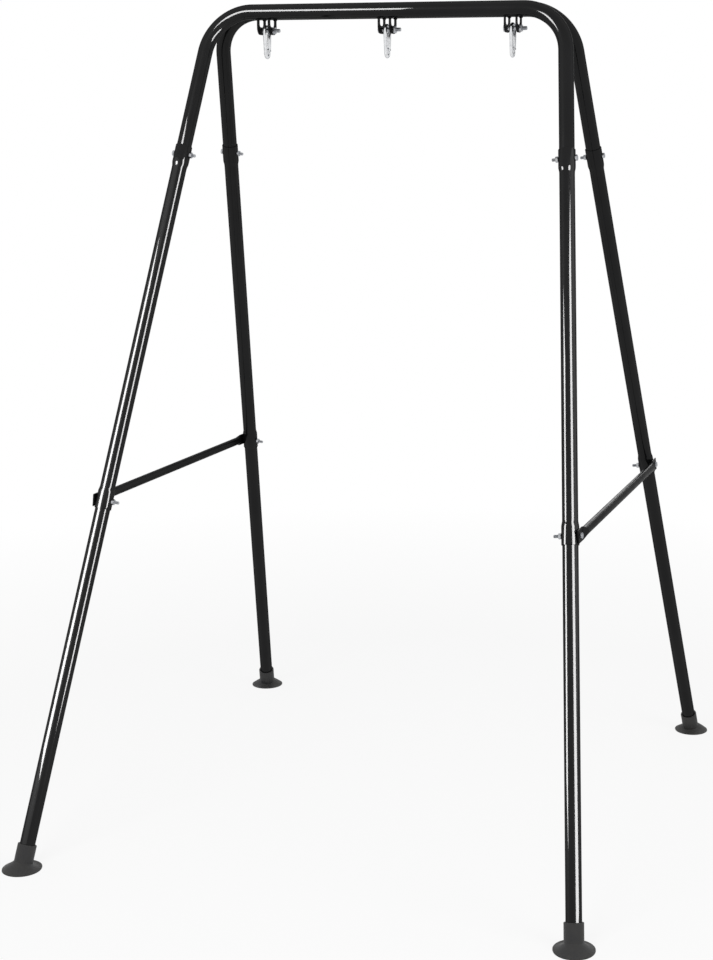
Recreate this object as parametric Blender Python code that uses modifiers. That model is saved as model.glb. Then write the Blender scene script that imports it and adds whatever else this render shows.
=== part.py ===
# A-frame swing stand of bolted steel tube, with three hangers for snap hooks under a double crossbar.
# Metres, +Z up. The origin is on the floor, midway between the four feet. X runs along the crossbars,
# and the front is towards -Y. Each piece is one object, and a piece that moves has its origin on its axis.

import math

import bmesh
import bpy
from mathutils import Matrix, Vector

# Tubes
TUBE_DIAMETER = 0.038
TUBE_WALL = 0.0016
TUBE_SIDES = 16
BEND_STEPS = 7

# Frame outline, measured to the tubes' axes
CROSSBAR_HEIGHT = 2.100
CORNER_HALF_SPAN = 0.470
FOOT_HALF_SPAN_X = 0.707
FOOT_HALF_SPAN_Y = 0.750
BOW_GAP = 0.002
BEND_RADIUS = 0.120

# Sleeved joints between the leg's three lengths
UPPER_JOINT_HEIGHT = 1.740
BRACE_JOINT_HEIGHT = 0.882
SOCKET_DEPTH = 0.044
SOCKET_TAPER = 0.012
SOCKET_CLEARANCE = 0.0006
SOCKET_BOTTOM_GAP = 0.001

# Side braces
BRACE_DIAMETER = 0.022
BRACE_WALL = 0.0012
BRACE_SLIT = 0.0008
BRACE_END_MARGIN = 0.016
BRACE_FLAT_LENGTH = 0.024
BRACE_TRANSITION = 0.024
BRACE_STEPS = 5

# Rubber feet
FOOT_BASE_DIAMETER = 0.098
FOOT_RIM_HEIGHT = 0.0025
FOOT_FLARE_HEIGHT = 0.0135
FOOT_SLEEVE_HEIGHT = 0.045
FOOT_SLEEVE_WALL = 0.0042
FOOT_FLOOR_THICKNESS = 0.005
FOOT_SIDES = 24
FOOT_FLARE_STEPS = 4

# Frame bolts
FRAME_BOLT_DIAMETER = 0.008
FRAME_BOLT_ACROSS_FLATS = 0.013
FRAME_BOLT_HEAD_HEIGHT = 0.0053
FRAME_NUT_HEIGHT = 0.0068
JOINT_BOLT_END = 0.009
BRACE_BOLT_END = 0.012

# Hangers
HANGER_SPACING = 0.331
PLATE_SPACING = 0.030
PLATE_THICKNESS = 0.003
PLATE_PRONG_WIDTH = 0.012
PLATE_CORNER_RADIUS = 0.018
PLATE_NOTCH_RADIUS = 0.008
PLATE_ARC_STEPS = 4

# Hanger bolts
HANGER_BOLT_DIAMETER = 0.010
HANGER_BOLT_ACROSS_FLATS = 0.016
HANGER_BOLT_HEAD_HEIGHT = 0.0064
HANGER_NUT_HEIGHT = 0.008
HANGER_BOLT_END = 0.012
HANGER_BOLT_BELOW = 0.0105
HANGER_BOLT_ABOVE = 0.009
BAR_TO_HOOK = 0.0135

# Snap hooks
HOOK_WIRE = 0.009
HOOK_LENGTH = 0.085
HOOK_WIDE_WIDTH = 0.039
HOOK_NARROW_WIDTH = 0.028
HOOK_SIDES = 10
HOOK_WIDE_STEPS = 12
HOOK_NARROW_STEPS = 8
TONGUE_THICKNESS = 0.0038
TONGUE_CLEARANCE = 0.0004
KNUCKLE_STEP = 0.0002
NOSE_LENGTH = 0.008
PIVOT_HEIGHT = 0.008
GATE_DIAMETER = 0.0104
GATE_CHAMFER = 0.001
GATE_STOP_WALL = 0.0018
GATE_SLOT_ROOM = 0.0015
GATE_BORE = 0.0056
GATE_BORE_DEPTH = 0.018
GATE_SIDES = 12
GATE_END_STEPS = 4
PIN_DIAMETER = 0.003
PIN_OVERHANG = 0.0005
SPRING_DIAMETER = 0.0048
SPRING_WIRE = 0.0007
SPRING_TURNS = 5
SPRING_STEPS = 8
SPRING_SIDES = 6

# Fits
GAP = 0.0003
BOLT_CLEARANCE = 0.0003
BOLT_SIDES = 12
CUT_MARGIN = 0.010
TRIM_MARGIN = 0.001

# Worked out from the sizes above
TUBE_RADIUS = TUBE_DIAMETER / 2
SOCKET_INNER = TUBE_RADIUS + SOCKET_CLEARANCE
SOCKET_OUTER = SOCKET_INNER + TUBE_WALL
SOCKET_HALF = SOCKET_DEPTH / 2
BOW_OFFSET = TUBE_RADIUS + BOW_GAP / 2
SIDES = {"left": -1, "right": 1}
ENDS = {"front": -1, "rear": 1}
HANGERS = {"left": -HANGER_SPACING, "middle": 0.0, "right": HANGER_SPACING}
HOOK_WIDE_RADIUS = (HOOK_WIDE_WIDTH - HOOK_WIRE) / 2
HOOK_NARROW_RADIUS = (HOOK_NARROW_WIDTH - HOOK_WIRE) / 2
HOOK_CENTRE_DISTANCE = HOOK_LENGTH - HOOK_WIRE - HOOK_WIDE_RADIUS - HOOK_NARROW_RADIUS
HOOK_SIDE_ANGLE = math.asin((HOOK_WIDE_RADIUS - HOOK_NARROW_RADIUS) / HOOK_CENTRE_DISTANCE)
HOOK_TOP = HANGER_BOLT_DIAMETER / 2 + GAP + HOOK_WIRE / 2
HANGER_BOLT_HEIGHT = CROSSBAR_HEIGHT - TUBE_RADIUS - BAR_TO_HOOK - HOOK_TOP - HOOK_WIRE / 2
HOOK_WIDE_CENTRE = HOOK_TOP - HOOK_WIDE_RADIUS
HOOK_NARROW_CENTRE = HOOK_WIDE_CENTRE - HOOK_CENTRE_DISTANCE
HOOK_SIDE_LENGTH = HOOK_CENTRE_DISTANCE * math.cos(HOOK_SIDE_ANGLE)

FINISHES = {
    "black_gloss_paint": ((0.018, 0.018, 0.019), 0.18, 0.0),
    "dark_rubber": ((0.045, 0.045, 0.047), 0.75, 0.0),
    "zinc_plate": ((0.72, 0.73, 0.74), 0.28, 1.0),
    "spring_steel": ((0.45, 0.46, 0.48), 0.30, 1.0),
}


# Scene

def clear_scene():
    for item in list(bpy.data.objects):
        bpy.data.objects.remove(item, do_unlink=True)


def make_collection(name):
    collection = bpy.data.collections.new(name)
    bpy.context.scene.collection.children.link(collection)
    return collection


def make_material(name):
    color, roughness, metallic = FINISHES[name]
    material = bpy.data.materials.new(name)
    material.use_nodes = True
    shader = material.node_tree.nodes["Principled BSDF"]
    shader.inputs["Base Color"].default_value = (*color, 1.0)
    shader.inputs["Roughness"].default_value = roughness
    shader.inputs["Metallic"].default_value = metallic
    material.diffuse_color = (*color, 1.0)
    return material


clear_scene()
PARTS = make_collection("swing_stand")
CUTTERS = make_collection("swing_stand_cutters")
MATERIALS = {name: make_material(name) for name in FINISHES}


def add_piece(name, mesh, finish, matrix=None):
    # Copies share the mesh, so the finish sits on the mesh and is added once.
    if not mesh.materials:
        mesh.materials.append(MATERIALS[finish])
    piece = bpy.data.objects.new(name, mesh)
    piece.matrix_world = matrix or Matrix.Identity(4)
    PARTS.objects.link(piece)
    return piece


def add_helper(name, data):
    helper = bpy.data.objects.new(name, data)
    helper.hide_render = True
    helper.display_type = "WIRE"
    CUTTERS.objects.link(helper)
    return helper


def evaluated_mesh(helper, weld=0.00001):
    # The mesh that the helper's modifiers or curve settings make, closed and shaded.
    bpy.context.view_layer.update()
    graph = bpy.context.evaluated_depsgraph_get()
    mesh = bpy.data.meshes.new_from_object(helper.evaluated_get(graph))
    shape = bmesh.new()
    shape.from_mesh(mesh)
    bmesh.ops.remove_doubles(shape, verts=shape.verts, dist=weld)
    bmesh.ops.dissolve_degenerate(shape, edges=shape.edges, dist=weld)
    shape.to_mesh(mesh)
    shape.free()
    mesh.shade_smooth()
    mesh.set_sharp_from_angle(angle=math.radians(32))
    return mesh


def finished_mesh(helper, name):
    mesh = evaluated_mesh(helper)
    mesh.name = name
    bpy.data.objects.remove(helper, do_unlink=True)
    return mesh


# Solids and cuts

def block_mesh(size, centre):
    shape = bmesh.new()
    bmesh.ops.create_cube(shape, size=1.0, matrix=Matrix.LocRotScale(centre, None, size))
    mesh = bpy.data.meshes.new("block")
    shape.to_mesh(mesh)
    shape.free()
    return mesh


def rod_mesh(radius, start, end, sides):
    # A rod or a hole cutter between two points.
    along = end - start
    turn = along.to_track_quat("Z", "Y")
    place = Matrix.LocRotScale((start + end) / 2, turn, None)
    shape = bmesh.new()
    bmesh.ops.create_cone(
        shape, cap_ends=True, segments=sides, radius1=radius, radius2=radius, depth=along.length, matrix=place
    )
    mesh = bpy.data.meshes.new("rod")
    shape.to_mesh(mesh)
    shape.free()
    return mesh


def combine(piece, mesh, operation):
    modifier = piece.modifiers.new("shape", "BOOLEAN")
    modifier.operation = operation
    modifier.object = add_helper("cutter", mesh)


def turned(profile, steps):
    # A profile of (radius, height) points, outer side first and downwards. It runs from the axis to the
    # axis, or else it closes on itself clear of the axis.
    points = [(radius, 0.0, height) for radius, height in profile]
    edges = [(i, i + 1) for i in range(len(points) - 1)]
    if profile[0][0] > 0.0:
        edges.append((len(points) - 1, 0))
    mesh = bpy.data.meshes.new("profile")
    mesh.from_pydata(points, edges, [])
    helper = add_helper("turned", mesh)
    screw = helper.modifiers.new("turn", "SCREW")
    screw.axis = "Z"
    screw.steps = steps
    screw.render_steps = steps
    screw.use_merge_vertices = True
    screw.merge_threshold = 0.00001
    return helper


def wire_curve(points, radius, sides, caps):
    curve = bpy.data.curves.new("wire", "CURVE")
    curve.dimensions = "3D"
    curve.twist_mode = "MINIMUM"
    curve.bevel_depth = radius
    curve.bevel_resolution = (sides - 4) // 2
    curve.use_fill_caps = caps
    spline = curve.splines.new("POLY")
    spline.points.add(len(points) - 1)
    for spot, point in zip(spline.points, points):
        spot.co = (*point, 1.0)
    return add_helper("wire", curve)


def lofted(rings, closed_end):
    # Skins a list of rings of equal count. Without an end cap the last ring joins the first.
    shape = bmesh.new()
    loops = [[shape.verts.new(point) for point in ring] for ring in rings]
    count = len(rings[0])
    pairs = list(zip(loops, loops[1:]))
    if not closed_end:
        pairs.append((loops[-1], loops[0]))
    for upper, lower in pairs:
        for i in range(count):
            j = (i + 1) % count
            shape.faces.new((upper[i], lower[i], lower[j], upper[j]))
    if closed_end:
        shape.faces.new(loops[0])
        shape.faces.new(reversed(loops[-1]))
    bmesh.ops.recalc_face_normals(shape, faces=shape.faces)
    mesh = bpy.data.meshes.new("loft")
    shape.to_mesh(mesh)
    shape.free()
    return mesh


def ring(centre, across, along, count):
    # A ring of points about centre, spanned by two vectors that hold its radius.
    turns = [2 * math.pi * i / count for i in range(count)]
    return [centre + across * math.cos(turn) + along * math.sin(turn) for turn in turns]


def arc(centre, radius, start, end, steps):
    # Points of an arc in the YZ plane, with its ends, from one angle in degrees to another.
    turns = [math.radians(start + (end - start) * i / steps) for i in range(steps + 1)]
    return [
        Vector((0.0, centre[0] + radius * math.cos(turn), centre[1] + radius * math.sin(turn)))
        for turn in turns
    ]


# Legs' axes

def leg_point(side, end, height):
    down = (CROSSBAR_HEIGHT - height) / CROSSBAR_HEIGHT
    x = CORNER_HALF_SPAN + (FOOT_HALF_SPAN_X - CORNER_HALF_SPAN) * down
    y = BOW_OFFSET + (FOOT_HALF_SPAN_Y - BOW_OFFSET) * down
    return Vector((side * x, end * y, height))


def leg_axes(side, end):
    # The leg's own axes: outwards and level along Y, forwards across, and up along the tube.
    up = (leg_point(side, end, CROSSBAR_HEIGHT) - leg_point(side, end, 0.0)).normalized()
    out = Vector((up.z, 0.0, -up.x)).normalized() * side
    return out, up.cross(out), up


def leg_frame(side, end, height):
    frame = Matrix(leg_axes(side, end)).transposed().to_4x4()
    frame.translation = leg_point(side, end, height)
    return frame


LEG_SLOPE = leg_axes(1, 1)[2].z
MIDDLE_LENGTH = (UPPER_JOINT_HEIGHT - BRACE_JOINT_HEIGHT) / LEG_SLOPE
INSERT_LENGTH = SOCKET_HALF - SOCKET_BOTTOM_GAP


def bolt_hole(matrix=None):
    # Cutter for a frame bolt through a tube, along the leg frame's first axis.
    reach = Vector((SOCKET_OUTER + CUT_MARGIN, 0.0, 0.0))
    mesh = rod_mesh(FRAME_BOLT_DIAMETER / 2 + BOLT_CLEARANCE, -reach, reach, BOLT_SIDES)
    mesh.transform(matrix or Matrix.Identity(4))
    return mesh


# Bent top bows

def bow_path():
    # Right half of the front bow from its middle down to the leg's end, about the crossbar's middle.
    corner = Vector((CORNER_HALF_SPAN, 0.0, 0.0))
    along = Vector((1.0, 0.0, 0.0))
    down = -leg_axes(1, -1)[2]
    turn = along.angle(down)
    start = corner - along * BEND_RADIUS * math.tan(turn / 2)
    inward = (down - along * down.dot(along)).normalized()
    centre = start + inward * BEND_RADIUS
    points = []
    for i in range(BEND_STEPS + 1):
        part = turn * i / BEND_STEPS
        points.append(centre + BEND_RADIUS * (along * math.sin(part) - inward * math.cos(part)))
    leg_length = (CROSSBAR_HEIGHT - UPPER_JOINT_HEIGHT) / LEG_SLOPE + INSERT_LENGTH
    points.append(corner + down * leg_length)
    return points


def make_bows():
    right_half = bow_path()
    left_half = [Vector((-point.x, point.y, point.z)) for point in reversed(right_half)]
    helper = wire_curve(left_half + right_half, TUBE_RADIUS, TUBE_SIDES, caps=False)
    tube = add_helper("bow", evaluated_mesh(helper))
    bpy.data.objects.remove(helper, do_unlink=True)
    wall = tube.modifiers.new("wall", "SOLIDIFY")
    wall.thickness = TUBE_WALL
    wall.offset = -1.0
    wall.use_even_offset = True
    to_bow = Matrix.Translation((0.0, BOW_OFFSET, -CROSSBAR_HEIGHT))
    for side in SIDES.values():
        combine(tube, bolt_hole(to_bow @ leg_frame(side, -1, UPPER_JOINT_HEIGHT)), "DIFFERENCE")
    mesh = finished_mesh(tube, "bow")
    for name, end in ENDS.items():
        half_turn = Matrix.Rotation(math.pi if end > 0 else 0.0, 4, "Z")
        place = Matrix.Translation((0.0, end * BOW_OFFSET, CROSSBAR_HEIGHT)) @ half_turn
        add_piece(name + "_bow", mesh, "black_gloss_paint", place)


# Leg tubes

def tube_profile(outline, wall):
    # The outer line of a tube, top to bottom, closed by the same line one wall further in.
    return outline + [(radius - wall, height) for radius, height in reversed(outline)]


def make_middle_legs():
    # Height runs up from the brace bolt to the upper bolt, and both ends are widened into sockets.
    top, low = MIDDLE_LENGTH, 0.0
    outline = [
        (SOCKET_OUTER, top + SOCKET_HALF),
        (SOCKET_OUTER, top - SOCKET_HALF),
        (TUBE_RADIUS, top - SOCKET_HALF - SOCKET_TAPER),
        (TUBE_RADIUS, low + SOCKET_HALF + SOCKET_TAPER),
        (SOCKET_OUTER, low + SOCKET_HALF),
        (SOCKET_OUTER, low - SOCKET_HALF),
    ]
    helper = turned(tube_profile(outline, TUBE_WALL), TUBE_SIDES)
    for height in (low, top):
        combine(helper, bolt_hole(Matrix.Translation((0.0, 0.0, height))), "DIFFERENCE")
    mesh = finished_mesh(helper, "middle_leg")
    for end_name, end in ENDS.items():
        for side_name, side in SIDES.items():
            place = leg_frame(side, end, BRACE_JOINT_HEIGHT)
            add_piece(f"{end_name}_{side_name}_middle_leg", mesh, "black_gloss_paint", place)


def foot_bore_drop():
    # How far the tube's end corner reaches below its middle, and so how high the middle must stay.
    lean = math.sqrt(1.0 - LEG_SLOPE ** 2)
    return (TUBE_RADIUS + GAP) * lean + FOOT_FLOOR_THICKNESS


def make_lower_legs():
    foot_end = (foot_bore_drop() - BRACE_JOINT_HEIGHT) / LEG_SLOPE + GAP
    outline = [(TUBE_RADIUS, INSERT_LENGTH), (TUBE_RADIUS, foot_end)]
    helper = turned(tube_profile(outline, TUBE_WALL), TUBE_SIDES)
    combine(helper, bolt_hole(), "DIFFERENCE")
    mesh = finished_mesh(helper, "lower_leg")
    for end_name, end in ENDS.items():
        for side_name, side in SIDES.items():
            place = leg_frame(side, end, BRACE_JOINT_HEIGHT)
            add_piece(f"{end_name}_{side_name}_lower_leg", mesh, "black_gloss_paint", place)


# Rubber feet

def foot_rings(out, across, up):
    # Rings from the base's middle up the outside, over the sleeve's rim and down the bore.
    level_x = Vector((1.0, 0.0, 0.0)) * math.copysign(1.0, out.x)
    level_y = Vector((0.0, 0.0, 1.0)).cross(level_x)
    base_radius = FOOT_BASE_DIAMETER / 2
    bore_radius = TUBE_RADIUS + GAP
    sleeve_radius = bore_radius + FOOT_SLEEVE_WALL
    sleeve_start = (FOOT_RIM_HEIGHT + FOOT_FLARE_HEIGHT) / up.z
    rings = [ring(Vector((0.0, 0.0, 0.0)), level_x * base_radius, level_y * base_radius, FOOT_SIDES)]
    for i in range(FOOT_FLARE_STEPS + 1):
        part = i / FOOT_FLARE_STEPS
        sweep = math.radians(90.0) * part
        radius = base_radius - (base_radius - sleeve_radius) * math.sin(sweep)
        climb = FOOT_RIM_HEIGHT / up.z + (sleeve_start - FOOT_RIM_HEIGHT / up.z) * (1.0 - math.cos(sweep))
        first = level_x.lerp(out, part).normalized() * radius
        second = level_y.lerp(across, part).normalized() * radius
        rings.append(ring(up * climb, first, second, FOOT_SIDES))
    top = up * (sleeve_start + FOOT_SLEEVE_HEIGHT)
    rings.append(ring(top, out * sleeve_radius, across * sleeve_radius, FOOT_SIDES))
    rings.append(ring(top, out * bore_radius, across * bore_radius, FOOT_SIDES))
    bottom = up * (foot_bore_drop() / up.z)
    rings.append(ring(bottom, out * bore_radius, across * bore_radius, FOOT_SIDES))
    return rings


def make_feet():
    for end_name, end in ENDS.items():
        for side_name, side in SIDES.items():
            out, across, up = leg_axes(side, end)
            mesh = lofted(foot_rings(out, across, up), closed_end=True)
            mesh.shade_smooth()
            mesh.set_sharp_from_angle(angle=math.radians(40))
            place = Matrix.Translation(leg_point(side, end, 0.0))
            add_piece(f"{end_name}_{side_name}_foot_cap", mesh, "dark_rubber", place)


# Side braces

def brace_ring(y, half_thickness, girth):
    # A flattened tube's section. Pressing keeps the quarter girth, so the width follows the thickness.
    straight = girth - half_thickness * math.pi / 2
    points = []
    for i in range(TUBE_SIDES):
        turn = 2 * math.pi * i / TUBE_SIDES
        quarter = abs(math.asin(math.sin(turn)))
        run = quarter / (math.pi / 2) * girth
        bend = max(0.0, (run - straight) / half_thickness)
        x = half_thickness * math.cos(bend)
        z = min(run, straight) + half_thickness * math.sin(bend)
        points.append(Vector((math.copysign(x, math.cos(turn)), y, math.copysign(z, math.sin(turn)))))
    return points


def brace_rings(radius, flat_half):
    # Sections from the front end to the rear end, flat at the ends and round between them.
    half_span = leg_point(1, 1, BRACE_JOINT_HEIGHT).y
    girth = radius * math.pi / 2
    stations = [(half_span + BRACE_END_MARGIN, flat_half)]
    for i in range(BRACE_STEPS + 1):
        part = i / BRACE_STEPS
        swell = (1 - math.cos(math.pi * part)) / 2
        y = half_span - BRACE_FLAT_LENGTH - BRACE_TRANSITION * part
        stations.append((y, flat_half + (radius - flat_half) * swell))
    front = [brace_ring(-y, half, girth) for y, half in stations]
    rear = [brace_ring(y, half, girth) for y, half in reversed(stations)]
    return front + rear


def brace_offset():
    return SOCKET_OUTER + GAP + BRACE_WALL + BRACE_SLIT / 2


def make_braces():
    outer = brace_rings(BRACE_DIAMETER / 2, BRACE_WALL + BRACE_SLIT / 2)
    inner = brace_rings(BRACE_DIAMETER / 2 - BRACE_WALL, BRACE_SLIT / 2)
    helper = add_helper("brace", lofted(outer + inner[::-1], closed_end=False))
    half_span = leg_point(1, 1, BRACE_JOINT_HEIGHT).y
    for end in ENDS.values():
        combine(helper, bolt_hole(Matrix.Translation((0.0, end * half_span, 0.0))), "DIFFERENCE")
    mesh = finished_mesh(helper, "side_brace")
    for side_name, side in SIDES.items():
        # Both legs of a side lean outwards alike, so their shared outward axis squares up the brace.
        out = leg_axes(side, -1)[0]
        along = Vector((0.0, 1.0, 0.0)) * side
        frame = Matrix((out, along, out.cross(along))).transposed().to_4x4()
        middle = leg_point(side, 1, BRACE_JOINT_HEIGHT)
        middle.y = 0.0
        frame.translation = middle + out * brace_offset()
        add_piece(side_name + "_side_brace", mesh, "black_gloss_paint", frame)


# Bolts and nuts

def bolt_mesh(name, diameter, across_flats, head_height, grip):
    # Hex bolt along X with its head's bearing face at 0, its head towards +X and its tip at -grip.
    corner = across_flats / math.sqrt(3)
    start = Vector((0.0, 0.0, 0.0))
    helper = add_helper(name, rod_mesh(corner, start, Vector((head_height, 0.0, 0.0)), 6))
    inside = Vector((head_height / 2, 0.0, 0.0))
    shank = rod_mesh(diameter / 2, Vector((-grip, 0.0, 0.0)), inside, BOLT_SIDES)
    combine(helper, shank, "UNION")
    return finished_mesh(helper, name)


def nut_mesh(name, diameter, across_flats, height):
    # Hex nut along X, with its bearing face at 0 and its body towards -X.
    corner = across_flats / math.sqrt(3)
    start = Vector((-height, 0.0, 0.0))
    helper = add_helper(name, rod_mesh(corner, start, Vector((0.0, 0.0, 0.0)), 6))
    margin = Vector((CUT_MARGIN, 0.0, 0.0))
    hole = rod_mesh(diameter / 2 + BOLT_CLEARANCE, start - margin, margin, BOLT_SIDES)
    combine(helper, hole, "DIFFERENCE")
    return finished_mesh(helper, name)


def make_frame_fasteners():
    inner_face = -(SOCKET_OUTER + GAP)
    heads = {
        "joint": (UPPER_JOINT_HEIGHT, SOCKET_OUTER + GAP, JOINT_BOLT_END),
        "brace": (BRACE_JOINT_HEIGHT, brace_offset() + BRACE_WALL + BRACE_SLIT / 2 + GAP, BRACE_BOLT_END),
    }
    nut = nut_mesh("frame_nut", FRAME_BOLT_DIAMETER, FRAME_BOLT_ACROSS_FLATS, FRAME_NUT_HEIGHT)
    for kind, (height, bearing, bolt_end) in heads.items():
        grip = bearing - inner_face + FRAME_NUT_HEIGHT + bolt_end
        bolt = bolt_mesh(
            kind + "_bolt", FRAME_BOLT_DIAMETER, FRAME_BOLT_ACROSS_FLATS, FRAME_BOLT_HEAD_HEIGHT, grip
        )
        for end_name, end in ENDS.items():
            for side_name, side in SIDES.items():
                frame = leg_frame(side, end, height)
                start = f"{end_name}_{side_name}_{kind}"
                add_piece(start + "_bolt", bolt, "zinc_plate", frame @ Matrix.Translation((bearing, 0, 0)))
                add_piece(start + "_nut", nut, "zinc_plate", frame @ Matrix.Translation((inner_face, 0, 0)))


# Hanger plates, bolts and nuts

def plate_outline():
    # U outline in the YZ plane about the bolt hole: outer side down, round the bottom and up, then the notch.
    half = BOW_OFFSET + PLATE_PRONG_WIDTH / 2
    notch_half = BOW_OFFSET - PLATE_PRONG_WIDTH / 2
    top = CROSSBAR_HEIGHT - HANGER_BOLT_HEIGHT
    corner_radius = min(PLATE_CORNER_RADIUS, half)
    notch_radius = min(PLATE_NOTCH_RADIUS, notch_half)
    corner = (half - corner_radius, corner_radius - HANGER_BOLT_BELOW)
    notch = (notch_half - notch_radius, notch_radius + HANGER_BOLT_ABOVE)
    outline = [Vector((0.0, -half, top))]
    outline += arc((-corner[0], corner[1]), corner_radius, 180, 270, PLATE_ARC_STEPS)
    outline += arc(corner, corner_radius, 270, 360, PLATE_ARC_STEPS)
    outline += [Vector((0.0, half, top)), Vector((0.0, notch_half, top))]
    outline += arc(notch, notch_radius, 0, -90, PLATE_ARC_STEPS)
    outline += arc((-notch[0], notch[1]), notch_radius, -90, -180, PLATE_ARC_STEPS)
    outline += [Vector((0.0, -notch_half, top))]
    return outline


def plate_mesh():
    # The prongs are cut to the tubes' round undersides, where they are welded on.
    curve = bpy.data.curves.new("plate", "CURVE")
    curve.dimensions = "2D"
    curve.fill_mode = "BOTH"
    curve.extrude = PLATE_THICKNESS / 2
    outline = plate_outline()
    spline = curve.splines.new("POLY")
    spline.points.add(len(outline) - 1)
    spline.use_cyclic_u = True
    for spot, point in zip(spline.points, outline):
        spot.co = (point.y, point.z, 0.0, 1.0)
    helper = add_helper("plate_outline", curve)
    flat = evaluated_mesh(helper)
    bpy.data.objects.remove(helper, do_unlink=True)
    # Stands the flat outline up, so that its own X and Y become Y and Z.
    flat.transform(Matrix(((0, 0, 1, 0), (1, 0, 0, 0), (0, 1, 0, 0), (0, 0, 0, 1))))
    plate = add_helper("plate", flat)
    reach = Vector((CUT_MARGIN, 0.0, 0.0))
    hole = rod_mesh(HANGER_BOLT_DIAMETER / 2 + BOLT_CLEARANCE, -reach, reach, BOLT_SIDES)
    combine(plate, hole, "DIFFERENCE")
    for end in ENDS.values():
        axis = Vector((0.0, end * BOW_OFFSET, CROSSBAR_HEIGHT - HANGER_BOLT_HEIGHT))
        saddle = rod_mesh(TUBE_RADIUS + GAP, axis - reach, axis + reach, 2 * TUBE_SIDES)
        combine(plate, saddle, "DIFFERENCE")
    return finished_mesh(plate, "hanger_plate")


def make_hangers():
    plate = plate_mesh()
    outer_face = PLATE_SPACING / 2 + PLATE_THICKNESS / 2 + GAP
    grip = 2 * outer_face + HANGER_NUT_HEIGHT + HANGER_BOLT_END
    bolt = bolt_mesh(
        "hanger_bolt", HANGER_BOLT_DIAMETER, HANGER_BOLT_ACROSS_FLATS, HANGER_BOLT_HEAD_HEIGHT, grip
    )
    nut = nut_mesh("hanger_nut", HANGER_BOLT_DIAMETER, HANGER_BOLT_ACROSS_FLATS, HANGER_NUT_HEIGHT)
    about = Matrix.Rotation(math.pi, 4, "Z")
    for name, x in HANGERS.items():
        place = Matrix.Translation((x, 0.0, HANGER_BOLT_HEIGHT))
        for plate_name, side in SIDES.items():
            offset = Matrix.Translation((side * PLATE_SPACING / 2, 0.0, 0.0))
            add_piece(f"{name}_hanger_{plate_name}_plate", plate, "black_gloss_paint", place @ offset)
        head = Matrix.Translation((-outer_face, 0.0, 0.0)) @ about
        add_piece(name + "_hanger_bolt", bolt, "zinc_plate", place @ head)
        tail = Matrix.Translation((outer_face, 0.0, 0.0)) @ about
        add_piece(name + "_hanger_nut", nut, "zinc_plate", place @ tail)


# Snap hooks, about the hanger bolt's axis

def side_line(distance):
    # Point on the gate side, measured up from where the narrow bow ends.
    lean = HOOK_SIDE_ANGLE
    y = HOOK_NARROW_RADIUS * math.cos(lean) + distance * math.sin(lean)
    z = HOOK_NARROW_CENTRE - HOOK_NARROW_RADIUS * math.sin(lean) + distance * math.cos(lean)
    return Vector((0.0, y, z))


PIVOT = side_line(PIVOT_HEIGHT)
GATE_FRAME = Matrix.Translation(PIVOT) @ Matrix.Rotation(-HOOK_SIDE_ANGLE, 4, "X")
# Heights in the gate's frame, whose Z runs up the gate from its pin
NOSE_TOP = HOOK_SIDE_LENGTH - PIVOT_HEIGHT
NOSE_BOTTOM = NOSE_TOP - NOSE_LENGTH
GATE_TOP = NOSE_TOP - 2 * GAP
GATE_SLOT = TONGUE_THICKNESS + 2 * TONGUE_CLEARANCE
KNUCKLE_RADIUS = HOOK_WIRE / 2 - KNUCKLE_STEP
GATE_SLOT_TOP = KNUCKLE_RADIUS + 2 * GAP
STOP_FACE = GATE_STOP_WALL - GATE_DIAMETER / 2


def hook_path():
    # From the nose over the wide bow, down the back, round the narrow bow and up to the pin.
    lean = math.degrees(HOOK_SIDE_ANGLE)
    wide = arc((0.0, HOOK_WIDE_CENTRE), HOOK_WIDE_RADIUS, -lean, 180 + lean, HOOK_WIDE_STEPS)
    narrow = arc((0.0, HOOK_NARROW_CENTRE), HOOK_NARROW_RADIUS, 180 + lean, 360 - lean, HOOK_NARROW_STEPS)
    nose = side_line(HOOK_SIDE_LENGTH - NOSE_LENGTH)
    return [nose] + wide + narrow + [side_line(PIVOT_HEIGHT + TRIM_MARGIN)]


def tongue_cutters(low, high):
    # Two blocks in the gate's frame that leave a thin tongue of the wire between them.
    size = Vector((HOOK_WIRE, HOOK_WIRE + 2 * TRIM_MARGIN, high - low))
    for side in SIDES.values():
        x = side * (TONGUE_THICKNESS + HOOK_WIRE) / 2
        yield block_mesh(size, Vector((x, 0.0, (low + high) / 2)))


def cut_in_gate_frame(piece, mesh, operation="DIFFERENCE"):
    mesh.transform(GATE_FRAME)
    combine(piece, mesh, operation)


def hook_body_mesh():
    helper = wire_curve(hook_path(), HOOK_WIRE / 2, HOOK_SIDES, caps=True)
    body = add_helper("hook", evaluated_mesh(helper))
    bpy.data.objects.remove(helper, do_unlink=True)
    knuckle = Vector((HOOK_WIRE / 3, 0.0, 0.0))
    cut_in_gate_frame(body, rod_mesh(KNUCKLE_RADIUS, -knuckle, knuckle, 2 * BOLT_SIDES), "UNION")
    pivot_shoulder = -GATE_DIAMETER / 2 - GAP
    for low, high in ((pivot_shoulder, HOOK_WIRE), (NOSE_BOTTOM - TRIM_MARGIN, NOSE_TOP)):
        for mesh in tongue_cutters(low, high):
            cut_in_gate_frame(body, mesh)
    # The nose's inner side is trimmed, so that it rests against the wall that closes the gate's slot.
    trim = Vector((HOOK_WIRE, HOOK_WIRE, NOSE_LENGTH + TRIM_MARGIN))
    centre = Vector((0.0, STOP_FACE + GAP - HOOK_WIRE / 2, NOSE_TOP - trim.z / 2))
    cut_in_gate_frame(body, block_mesh(trim, centre))
    reach = Vector((HOOK_WIRE, 0.0, 0.0))
    cut_in_gate_frame(body, rod_mesh(PIN_DIAMETER / 2 + GAP, -reach, reach, BOLT_SIDES))
    return finished_mesh(body, "hook_body")


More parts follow.
